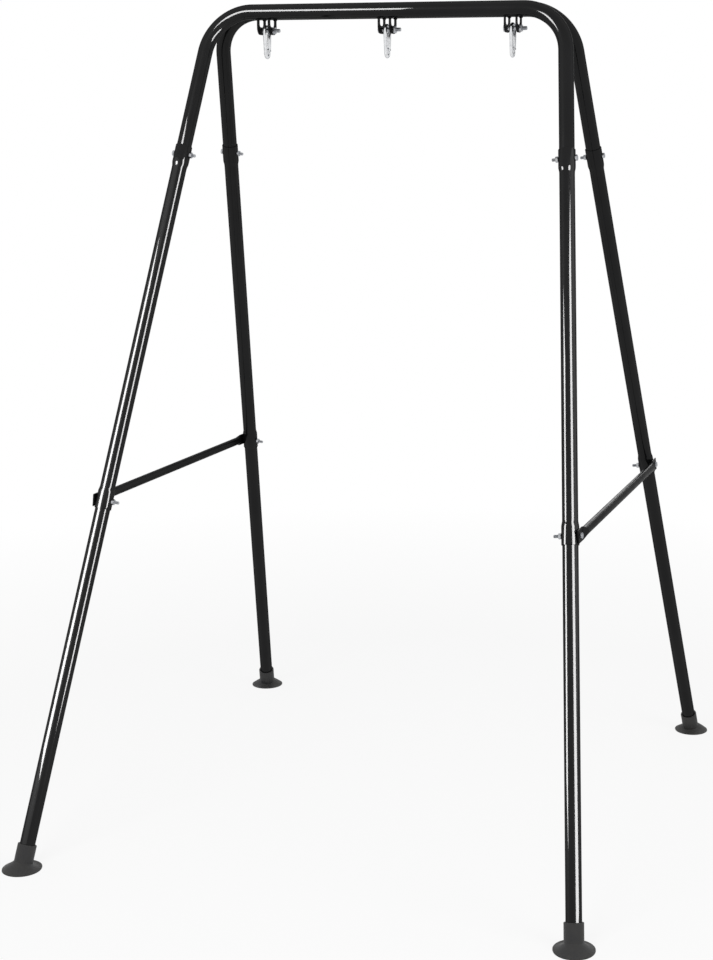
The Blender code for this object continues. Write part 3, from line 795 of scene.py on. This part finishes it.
def threadDepth(turn, height, pitch):
    # 0 on the crest and 1 at the root, a flat on each
    place = (height / pitch - turn / (2 * math.pi)) % 1.0
    return min(1.0, max(0.0, (abs(2 * place - 1) - thread["crest"]) / thread["flank"]))


def makeBolt(name, sizes, grip, boltEnd):
    # head's bearing face at 0, head upwards, tip at -grip
    radius, pitch = sizes["diameter"] / 2, sizes["pitch"]
    threadTop = sizes["nut"] + boltEnd + 2 * pitch - grip
    piece = hexBlock(name, sizes["flats"], 0.0, sizes["head"], False)
    step = pitch / thread["ringsPerTurn"]
    rings = math.ceil((threadTop + grip) / step)
    step = (threadTop + grip) / rings
    shank = addRing("shank", radius, thread["sides"], (0, 0, sizes["head"] / 2), (0, 0, -1))
    pull((0, 0, threadTop - sizes["head"] / 2))
    for ring in range(rings):
        pull((0, 0, -step))
    closeEnds()
    closeUp()
    settle(shank)
    for vertex in shank.data.vertices:
        x, y, z = vertex.co
        if z > threadTop + step / 2:
            continue
        runOut = min(1.0, (threadTop - z) / pitch)
        cut = threadDepth(math.atan2(y, x), z, pitch) * thread["depth"] * pitch * runOut
        bevel = max(0.0, pitch * thread["bevel"] - (z + grip))
        reach = min(radius - cut, radius - bevel) / radius
        vertex.co.x = x * reach
        vertex.co.y = y * reach
    combine(piece, shank, "UNION")
    mend(piece)
    shade(thread["smoothAngle"])
    giveFinish(piece, "zinc")
    return piece


nutHole = {"room": 0.00012, "countersink": 0.0007, "sides": 32}


def makeNut(name, sizes):
    # bearing face at 0, body downwards, its hole countersunk at both ends
    height, hole = sizes["nut"], sizes["diameter"] / 2 + nutHole["room"]
    sink = nutHole["countersink"]
    wide = hole + sink + past
    piece = hexBlock(name, sizes["flats"], -height, 0.0, True)
    profile = [(0.0, past), (wide, past), (hole, -sink), (hole, sink - height)]
    profile += [(wide, -height - past), (0.0, -height - past)]
    combine(piece, turnPiece("bore", profile, nutHole["sides"]))
    makeActive(piece)
    shade(thread["smoothAngle"])
    giveFinish(piece, "zinc")
    return piece


def makeFrameBolts():
    innerFace = -(socket["outer"] + stand["gap"])
    bearing = {
        "joint": (stand["upperJoint"], socket["outer"] + stand["gap"]),
        "brace": (stand["braceJoint"], braceOffset() + brace["wall"] + brace["slit"] / 2 + stand["gap"]),
    }
    nut = makeNut("frame_nut", frameBolt)
    for kind, (height, face) in bearing.items():
        grip = face - innerFace + frameBolt["nut"] + boltEnds[kind]
        bolt = makeBolt(kind + "_bolt", frameBolt, grip, boltEnds[kind])
        for endName, end, sideName, side in corners:
            start = f"{endName}_{sideName}_{kind}"
            spin = Matrix.Rotation(math.radians(boltTurns["frame"] * (end + 2 * side)), 4, "X")
            at = legFrame(side, end, height)
            head = at @ Matrix.Translation((face, 0, 0)) @ spin @ aboutX
            tail = at @ Matrix.Translation((innerFace, 0, 0)) @ spin @ aboutX
            placeCopy(bolt, start + "_hex_bolt", head, "stand", "zinc", start + "_bolt")
            placeCopy(nut, start + "_hex_nut", tail, "stand", "zinc", start + "_nut")
        dropMaster(bolt)
    dropMaster(nut)


makeFrameBolts()
print("frame bolts")


# Hangers

hanger = {
    "spacing": 0.331,
    "plateSpacing": 0.030,
    "thickness": 0.003,
    "prong": 0.012,
    "corner": 0.018,
    "notchCorner": 0.008,
    "arcSteps": (14, 10, 12),  # of the corners, the notch and the saddles
    "below": 0.0105,
    "above": 0.009,
    "barToHook": 0.0135,
    "holeReach": 0.01,
    "edge": 0.0005,
    "edgeAngle": 50.0,        # edges that turn less aren't rounded
}
hook = {
    "wire": 0.009,
    "length": 0.085,
    "wide": 0.039,
    "narrow": 0.028,
    "bowSteps": (36, 28),     # of the wide and of the narrow bow
    "sides": 28,
    "nose": 0.008,
    "pivotHeight": 0.008,
    "knuckleInset": 0.0002,
    "knuckleSides": 48,
    "tongue": 0.0038,
    "tongueRoom": 0.0004,
    "edge": 0.00035,
    "edgeAngle": 48.0,
    "gate": 0.0104,
    "gateEdge": 0.0010,
    "stopWall": 0.0018,
    "slotRoom": 0.0015,
    "bore": 0.0056,
    "boreDepth": 0.018,
    "pin": 0.003,
    "pinHead": 0.0023,
}
boltRadius = hangerBolt["diameter"] / 2
hookTop = boltRadius + stand["gap"] + hook["wire"] / 2
boltHeight = stand["barHeight"] - stand["tubeRadius"] - hanger["barToHook"] - hookTop - hook["wire"] / 2
hangers = {"left": -hanger["spacing"], "middle": 0.0, "right": hanger["spacing"]}


def arcPoints(centre, radius, start, end, steps):
    # (y, z) points of an arc, angles in degrees from +Y towards +Z
    points = []
    for i in range(steps + 1):
        turn = math.radians(start + (end - start) * i / steps)
        points.append((centre[0] + radius * math.cos(turn), centre[1] + radius * math.sin(turn)))
    return points


def plateOutline():
    # U with rounded corners, and prongs whose ends are cut to the tubes
    half = stand["barY"] + hanger["prong"] / 2
    inner = stand["barY"] - hanger["prong"] / 2
    top = stand["barHeight"] - boltHeight
    saddle = stand["tubeRadius"] + stand["gap"]
    corner, notch = hanger["corner"], hanger["notchCorner"]
    turn = math.degrees(math.asin(hanger["prong"] / 2 / saddle))
    bottom, floor = -hanger["below"], hanger["above"]
    cornerSteps, notchSteps, saddleSteps = hanger["arcSteps"]
    points = arcPoints((half - corner, bottom + corner), corner, -90, 0, cornerSteps)
    points += arcPoints((stand["barY"], top), saddle, turn - 90, -90 - turn, saddleSteps)
    points += arcPoints((inner - notch, floor + notch), notch, 0, -90, notchSteps)
    points += arcPoints((notch - inner, floor + notch), notch, -90, -180, notchSteps)
    points += arcPoints((-stand["barY"], top), saddle, turn - 90, -90 - turn, saddleSteps)
    points += arcPoints((corner - half, bottom + corner), corner, -180, -90, cornerSteps)
    return points


def makePlate():
    side = hanger["thickness"] / 2
    points = [(-side, y, z) for y, z in plateOutline()]
    plate = drawLine("plate", points + points[:1])
    bpy.ops.mesh.select_all(action="SELECT")
    bpy.ops.mesh.remove_doubles(threshold=mergeDistance)
    bpy.ops.mesh.edge_face_add()
    pull((hanger["thickness"], 0, 0))
    closeUp()
    settle(plate)
    reach = hanger["holeReach"]
    combine(plate, addRod("hole", boltRadius + stand["gap"], (-reach, 0, 0), (reach, 0, 0)))
    roundEdges(plate, hanger["edge"], hanger["edgeAngle"])
    giveFinish(plate, "paint")
    return plate


weld = {
    "radius": 0.0019,
    "rise": 0.25,             # how far its middle lies off the tube, as a share of the radius
    "beside": 0.35,           # the same off the plate
    "halfTurn": 19.5,         # degrees either side of the tube's underside
    "thinEnd": 0.0004,
    "steps": 30,
    "ripples": 7,
    "ripple": 0.13,
    "sides": 14,
}


def makeWeld():
    # a rippled bead round the tube's underside, thinning out at both ends
    reach = stand["tubeRadius"] + weld["radius"] * weld["rise"]
    turn = math.radians(weld["halfTurn"])
    start = (0, -reach * math.sin(turn), -reach * math.cos(turn))
    along = (0, math.cos(turn), -math.sin(turn))
    piece = addRing("weld", weld["radius"], weld["sides"], start, along)
    bendRing(weld["steps"], 2 * turn, (0, 0, 0), (1, 0, 0))
    settle(piece)
    for vertex in piece.data.vertices:
        place = math.atan2(vertex.co.y, -vertex.co.z)
        centre = Vector((0, reach * math.sin(place), -reach * math.cos(place)))
        part = place / turn
        thin = math.sqrt(max(weld["thinEnd"], 1 - part ** 4))
        wave = 1 + weld["ripple"] * math.cos(part * weld["ripples"] * math.pi)
        vertex.co = centre + (vertex.co - centre) * thin * wave
    bpy.ops.object.mode_set(mode="EDIT")
    closeEnds()
    closeUp(softAngle)
    giveFinish(piece, "paint")
    return piece


def makeHangers():
    plate = makePlate()
    bead = makeWeld()
    face = hanger["plateSpacing"] / 2 + hanger["thickness"] / 2 + stand["gap"]
    grip = 2 * face + hangerBolt["nut"] + boltEnds["hanger"]
    bolt = makeBolt("hanger_bolt", hangerBolt, grip, boltEnds["hanger"])
    nut = makeNut("hanger_nut", hangerBolt)
    about = Matrix.Rotation(math.pi, 4, "Z")
    beside = hanger["thickness"] / 2 + weld["radius"] * weld["beside"]
    firstTurn, nextTurn = boltTurns["hanger"]
    for number, (name, x) in enumerate(hangers.items()):
        at = Matrix.Translation((x, 0, boltHeight))
        beads = []
        for plateName, side in stand["sides"].items():
            shift = side * hanger["plateSpacing"] / 2
            node = f"{name}_hanger_{plateName}_plate"
            place = at @ Matrix.Translation((shift, 0, 0))
            placeCopy(plate, node + "_steel", place, "stand", "black_paint", node)
            for end in stand["ends"].values():
                for edge in (-1, 1):
                    across = x + shift + edge * beside
                    spot = Matrix.Translation((across, end * stand["barY"], stand["barHeight"]))
                    beads.append(copyMesh(bead, spot))
        deselectAll()
        for copy in beads:
            copy.select_set(True)
        bpy.context.view_layer.objects.active = beads[0]
        bpy.ops.object.join()
        welds = bpy.context.object
        welds.name = name + "_hanger_welds"
        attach(welds, "stand")
        spin = Matrix.Rotation(math.radians(firstTurn + nextTurn * number), 4, "X")
        head = at @ Matrix.Translation((-face, 0, 0)) @ about @ spin @ aboutX
        tail = at @ Matrix.Translation((face, 0, 0)) @ about @ spin @ aboutX
        placeCopy(bolt, name + "_hanger_hex_bolt", head, "stand", "zinc", name + "_hanger_bolt")
        placeCopy(nut, name + "_hanger_hex_nut", tail, "stand", "zinc", name + "_hanger_nut")
    for master in (plate, bead, bolt, nut):
        dropMaster(master)


makeHangers()
print("hangers")


# Snap hooks, about the hanger bolt's axis

wideRadius = (hook["wide"] - hook["wire"]) / 2
narrowRadius = (hook["narrow"] - hook["wire"]) / 2
centreDistance = hook["length"] - hook["wire"] - wideRadius - narrowRadius
sideAngle = math.asin((wideRadius - narrowRadius) / centreDistance)
sideLength = centreDistance * math.cos(sideAngle)
wideCentre = hookTop - wideRadius
narrowCentre = wideCentre - centreDistance


def gateSide(distance):
    # point on the gate side, measured up from where the narrow bow ends
    y = narrowRadius * math.cos(sideAngle) + distance * math.sin(sideAngle)
    z = narrowCentre - narrowRadius * math.sin(sideAngle) + distance * math.cos(sideAngle)
    return Vector((0.0, y, z))


gateFrame = Matrix.Translation(gateSide(hook["pivotHeight"])) @ Matrix.Rotation(-sideAngle, 4, "X")
noseTop = sideLength - hook["pivotHeight"]
noseBottom = noseTop - hook["nose"]
gateTop = noseTop - 2 * stand["gap"]
slotWidth = hook["tongue"] + 2 * hook["tongueRoom"]
knuckle = hook["wire"] / 2 - hook["knuckleInset"]
lowSlotTop = knuckle + 2 * stand["gap"]
stopFace = hook["stopWall"] - hook["gate"] / 2


rivet = {
    "dome": ((0.0, 1.0), (0.55, 0.82), (0.88, 0.42)),   # shares of the head's radius and rise
    "rise": 0.0005,
    "rim": 0.00004,           # the head's edge above the gate, then the shank's
    "seat": 0.00002,
    "sides": 28,
    "holeSides": 26,
}


def makeHookBody():
    wire = hook["wire"]
    up = Vector((0.0, math.sin(sideAngle), math.cos(sideAngle)))
    back = Vector((0.0, math.sin(sideAngle), -math.cos(sideAngle)))
    turn = math.pi + 2 * sideAngle
    wideSteps, narrowSteps = hook["bowSteps"]
    start = gateSide(sideLength - hook["nose"])
    body = addRing("hook", wire / 2, hook["sides"], start, up)
    pull(gateSide(sideLength) - start)
    bendRing(wideSteps, turn, (0, 0, wideCentre), (1, 0, 0))
    pull(back * sideLength)
    bendRing(narrowSteps, 2 * math.pi - turn, (0, 0, narrowCentre), (1, 0, 0))
    pull(up * (hook["pivotHeight"] + past))
    closeEnds()
    closeUp()
    settle(body)
    reach = wire / 3
    pivot = addRod("knuckle", knuckle, (-reach, 0, 0), (reach, 0, 0), hook["knuckleSides"], gateFrame)
    combine(body, pivot, "UNION")
    shoulder = -hook["gate"] / 2 - stand["gap"]
    for low, high in ((shoulder, wire), (noseBottom - past, noseTop)):
        for side in (-1, 1):
            size = (wire, wire + 2 * past, high - low)
            centre = (side * (hook["tongue"] + wire) / 2, 0, (low + high) / 2)
            combine(body, addBlock("flat", size, centre, gateFrame))
    trim = hook["nose"] + past
    centre = (0, stopFace + stand["gap"] - wire / 2, noseTop - trim / 2)
    combine(body, addBlock("trim", (wire, wire, trim), centre, gateFrame))
    mend(body)
    hole = hook["pin"] / 2 + stand["gap"]
    combine(body, addRod("rivet_hole", hole, (-wire, 0, 0), (wire, 0, 0), rivet["holeSides"], gateFrame))
    mend(body)
    roundEdges(body, hook["edge"], hook["edgeAngle"])
    giveFinish(body, "hook")
    return body


gateShape = {
    "sides": 40,
    "domeSteps": 9,
    "boreSides": 28,
    "holeSides": 24,
    "holeReach": 0.02,
    "pinRoom": 0.0001,
    "edge": 0.0003,
    "edgeAngle": 50.0,
}


def makeGate():
    radius, edge = hook["gate"] / 2, hook["gateEdge"]
    mid, steps = edge * cornerMiddle, gateShape["domeSteps"]
    profile = [(0.0, gateTop), (radius - edge, gateTop), (radius - mid, gateTop - mid)]
    profile.append((radius, gateTop - edge))
    for i in range(steps):
        turn = math.pi / 2 * i / steps
        profile.append((radius * math.cos(turn), -radius * math.sin(turn)))
    gate = turnPiece("gate", profile + [(0.0, -radius)], gateShape["sides"])
    low = lowSlotTop + hook["gate"]
    combine(gate, addBlock("low_slot", (slotWidth, 2 * hook["gate"], low), (0, 0, lowSlotTop - low / 2)))
    bottom = noseBottom - hook["slotRoom"]
    height = gateTop + past - bottom
    centre = (0, stopFace + hook["gate"] / 2, bottom + height / 2)
    combine(gate, addBlock("top_slot", (slotWidth, hook["gate"], height), centre))
    start, end = (0, 0, lowSlotTop - past), (0, 0, lowSlotTop + hook["boreDepth"])
    combine(gate, addRod("bore", hook["bore"] / 2, start, end, gateShape["boreSides"]))
    hole, reach = hook["pin"] / 2 + gateShape["pinRoom"], gateShape["holeReach"]
    combine(gate, addRod("pin_hole", hole, (-reach, 0, 0), (reach, 0, 0), gateShape["holeSides"]))
    roundEdges(gate, gateShape["edge"], gateShape["edgeAngle"])
    giveFinish(gate, "hook")
    return gate


def makePin():
    # rivet with a low dome pressed over each end
    radius, half = hook["pin"] / 2, hook["gate"] / 2
    head, rise = hook["pinHead"], rivet["rise"]
    line = [(head * across, half + rise * up) for across, up in rivet["dome"]]
    line += [(head, half + rivet["rim"]), (radius, half + rivet["seat"])]
    profile = line + [(r, -h) for r, h in reversed(line)]
    pin = turnPiece("pin", profile, rivet["sides"])
    settle(pin, aboutX)
    giveFinish(pin, "zinc")
    return pin


coil = {"diameter": 0.0048, "wire": 0.0007, "turns": 5, "steps": 28, "sides": 12}


def makeSpring():
    # small ring wound up by Screw
    radius = (coil["diameter"] - coil["wire"]) / 2
    low = knuckle + stand["gap"] + coil["wire"] / 2
    high = lowSlotTop + hook["boreDepth"] - stand["gap"] - coil["wire"] / 2
    spring = addRing("spring", coil["wire"] / 2, coil["sides"], (radius, 0, low), (0, 1, 0))
    settle(spring)
    wind = spring.modifiers.new("wind", "SCREW")
    wind.axis = "Z"
    wind.screw_offset = (high - low) / coil["turns"]
    wind.iterations = coil["turns"]
    wind.steps = coil["steps"]
    wind.render_steps = coil["steps"]
    applyModifiers(spring)
    bpy.ops.object.mode_set(mode="EDIT")
    closeEnds()
    closeUp(softAngle)
    giveFinish(spring, "spring")
    return spring


def makeHooks():
    masters = {
        "hook_body": (makeHookBody(), "hook", "zinc", Matrix.Identity(4), "_forged"),
        "hook_gate": (makeGate(), "gate", "zinc", gateFrame, "_bar"),
        "hook_pin": (makePin(), "hook", "zinc", gateFrame, "_rivet"),
        "hook_spring": (makeSpring(), "gate", "spring", gateFrame, "_coil"),
    }
    for name, x in hangers.items():
        at = Matrix.Translation((x, 0, boltHeight))
        for kind, (master, body, slot, place, ending) in masters.items():
            node = f"{name}_{kind}"
            placeCopy(master, node + ending, at @ place, f"{name}_{body}", slot, node)
    for entry in masters.values():
        dropMaster(entry[0])


makeHooks()
print("snap hooks")


# Floor, light and camera

studio = {
    "floorColor": (0.90, 0.90, 0.90),
    "ownLight": (0.86, 1.0),  # share of plain white in what the camera sees, by the stand and far off
    "fade": (1.5, 3.6),       # metres from the middle, from the one share to the other
    "worldLevel": 0.45,
    "floorSize": 60.0,
}


def makeFloor():
    deselectAll()
    bpy.ops.mesh.primitive_plane_add(size=studio["floorSize"], location=(0, 0, 0))
    floor = bpy.context.object
    floor.name = "studio_floor"
    finish = bpy.data.materials.new("pale_floor")
    finish.use_nodes = True
    tree = finish.node_tree
    tree.nodes.clear()
    out = addNode(tree, "ShaderNodeOutputMaterial")
    mix = addNode(tree, "ShaderNodeMixShader")
    matte = addNode(tree, "ShaderNodeBsdfDiffuse", Color=(*studio["floorColor"], 1.0))
    white = addNode(tree, "ShaderNodeEmission", Color=(1.0, 1.0, 1.0, 1.0), Strength=1.0)
    coords = addNode(tree, "ShaderNodeTexCoord").outputs["Object"]
    reach = addNode(tree, "ShaderNodeVectorMath", operation="LENGTH")
    tree.links.new(coords, reach.inputs[0])
    near, far = studio["fade"]
    low, high = studio["ownLight"]
    own = rangeOf(tree, reach.outputs["Value"], near, far, low, high)
    share = multiply(tree, seenDirectly(tree), own)
    tree.links.new(share, mix.inputs["Fac"])
    tree.links.new(matte.outputs["BSDF"], mix.inputs[1])
    tree.links.new(white.outputs["Emission"], mix.inputs[2])
    tree.links.new(mix.outputs["Shader"], out.inputs["Surface"])
    floor.data.materials.append(finish)


def seenDirectly(tree):
    # 1 for camera, glossy and transmission rays
    path = addNode(tree, "ShaderNodeLightPath")
    total = path.outputs["Is Camera Ray"]
    for name in ("Is Glossy Ray", "Is Transmission Ray"):
        either = addNode(tree, "ShaderNodeMath", operation="MAXIMUM")
        tree.links.new(total, either.inputs[0])
        tree.links.new(path.outputs[name], either.inputs[1])
        total = either.outputs["Value"]
    return total


def makeWorld():
    world = bpy.data.worlds.new("studio")
    bpy.context.scene.world = world
    world.use_nodes = True
    tree = world.node_tree
    back = tree.nodes["Background"]
    level = rangeOf(tree, seenDirectly(tree), 0.0, 1.0, studio["worldLevel"], 1.0)
    back.inputs["Color"].default_value = (1.0, 1.0, 1.0, 1.0)
    tree.links.new(level, back.inputs["Strength"])


# two soft keys, and panels that only show in the gloss of the pieces named
leftLegs, rightLegs = [
    [f"front_{side}_{tube}_leg_tube" for tube in ("middle", "lower")] for side in stand["sides"]
]
lamps = [
    {"name": "front_softbox", "size": (2.2, 1.6), "watts": 70,
     "place": (-0.6, -3.4, 3.6), "aim": (0, 0, 1.1)},
    {"name": "side_softbox", "size": (1.6, 2.0), "watts": 30,
     "place": (3.2, -1.2, 2.6), "aim": (0, 0, 1.1)},
    {"name": "left_strip_far", "size": (0.74, 1.75), "watts": 330, "gloss": leftLegs,
     "place": (-1.15, -1.48, 1.325), "aim": (0.1, -0.35, 1.325)},
    {"name": "left_strip_near", "size": (0.74, 1.86), "watts": 290, "gloss": rightLegs,
     "place": (-1.17, -1.46, 1.18), "aim": (0.1, -0.35, 1.18)},
    {"name": "right_strip", "size": (0.65, 2.27), "watts": 280, "gloss": leftLegs + rightLegs,
     "place": (1.49, -1.06, 1.235), "aim": (0.0, -0.40, 1.235)},
    {"name": "bend_strip", "size": (0.65, 1.5), "watts": 185, "gloss": ["front_bow_tube"],
     "place": (1.49, -1.06, 1.15), "aim": (0.0, -0.40, 1.15)},
    {"name": "bar_strip", "size": (0.65, 0.50), "watts": 61, "gloss": ["front_bow_tube", "rear_bow_tube"],
     "place": (-0.752, -1.3625, 2.37), "aim": (-0.012, -0.0825, 2.10)},
    {"name": "side_panel", "size": (2.4, 3.0), "watts": 38, "gloss": rightLegs,
     "place": (2.9, 0.2, 2.0), "aim": (0.6, 0.0, 1.2)},
    {"name": "left_panel", "size": (4.4, 3.0), "watts": 50, "gloss": leftLegs,
     "place": (-1.85, -2.6, 1.8), "aim": (-0.6, -0.45, 1.2)},
    {"name": "brace_panel", "size": (1.3, 1.3), "watts": 34, "gloss": ["right_side_brace_tube"],
     "place": (0.0, 3.8, 1.95), "aim": (0.6, 0.0, 0.88)},
]


def makeLamps():
    for lamp in lamps:
        data = bpy.data.lights.new(lamp["name"], "AREA")
        data.shape = "RECTANGLE"
        data.size, data.size_y = lamp["size"]
        data.energy = lamp["watts"]
        item = bpy.data.objects.new(lamp["name"], data)
        bpy.context.scene.collection.objects.link(item)
        item.location = lamp["place"]
        aim = Vector(lamp["aim"]) - Vector(lamp["place"])
        item.rotation_euler = aim.to_track_quat("-Z", "Y").to_euler()
        item.visible_camera = False
        item.visible_diffuse = "gloss" not in lamp
        item.visible_glossy = "gloss" in lamp
        if "gloss" in lamp:
            lit = bpy.data.collections.new(lamp["name"] + "_shows_on")
            for name in lamp["gloss"]:
                lit.objects.link(bpy.data.objects[name])
            item.light_linking.receiver_collection = lit


view = {
    "place": (1.53048, -4.21407, 1.82931),
    "yaw": -0.2975,
    "pitch": -0.2073,
    "roll": 0.0047,
    "lens": 64.139,
    "sensor": 36.0,
    "shiftX": -0.12344,
    "farEnd": 100.0,
}


def makeCamera():
    data = bpy.data.cameras.new("camera")
    data.lens = view["lens"]
    data.sensor_width = view["sensor"]
    data.shift_x = view["shiftX"]
    data.clip_end = view["farEnd"]
    item = bpy.data.objects.new("camera", data)
    bpy.context.scene.collection.objects.link(item)
    yaw, pitch, roll = view["yaw"], view["pitch"], view["roll"]
    forward = Vector((math.sin(yaw) * math.cos(pitch), math.cos(yaw) * math.cos(pitch), math.sin(pitch)))
    level = Vector((math.cos(yaw), -math.sin(yaw), 0.0))
    upright = level.cross(forward)
    right = level * math.cos(roll) + upright * math.sin(roll)
    up = upright * math.cos(roll) - level * math.sin(roll)
    place = Matrix((right, up, -forward)).transposed().to_4x4()
    place.translation = view["place"]
    item.matrix_world = place
    bpy.context.scene.camera = item


makeFloor()
makeWorld()
makeLamps()
makeCamera()
bpy.context.scene.view_settings.view_transform = "Standard"
print("floor, light and camera")
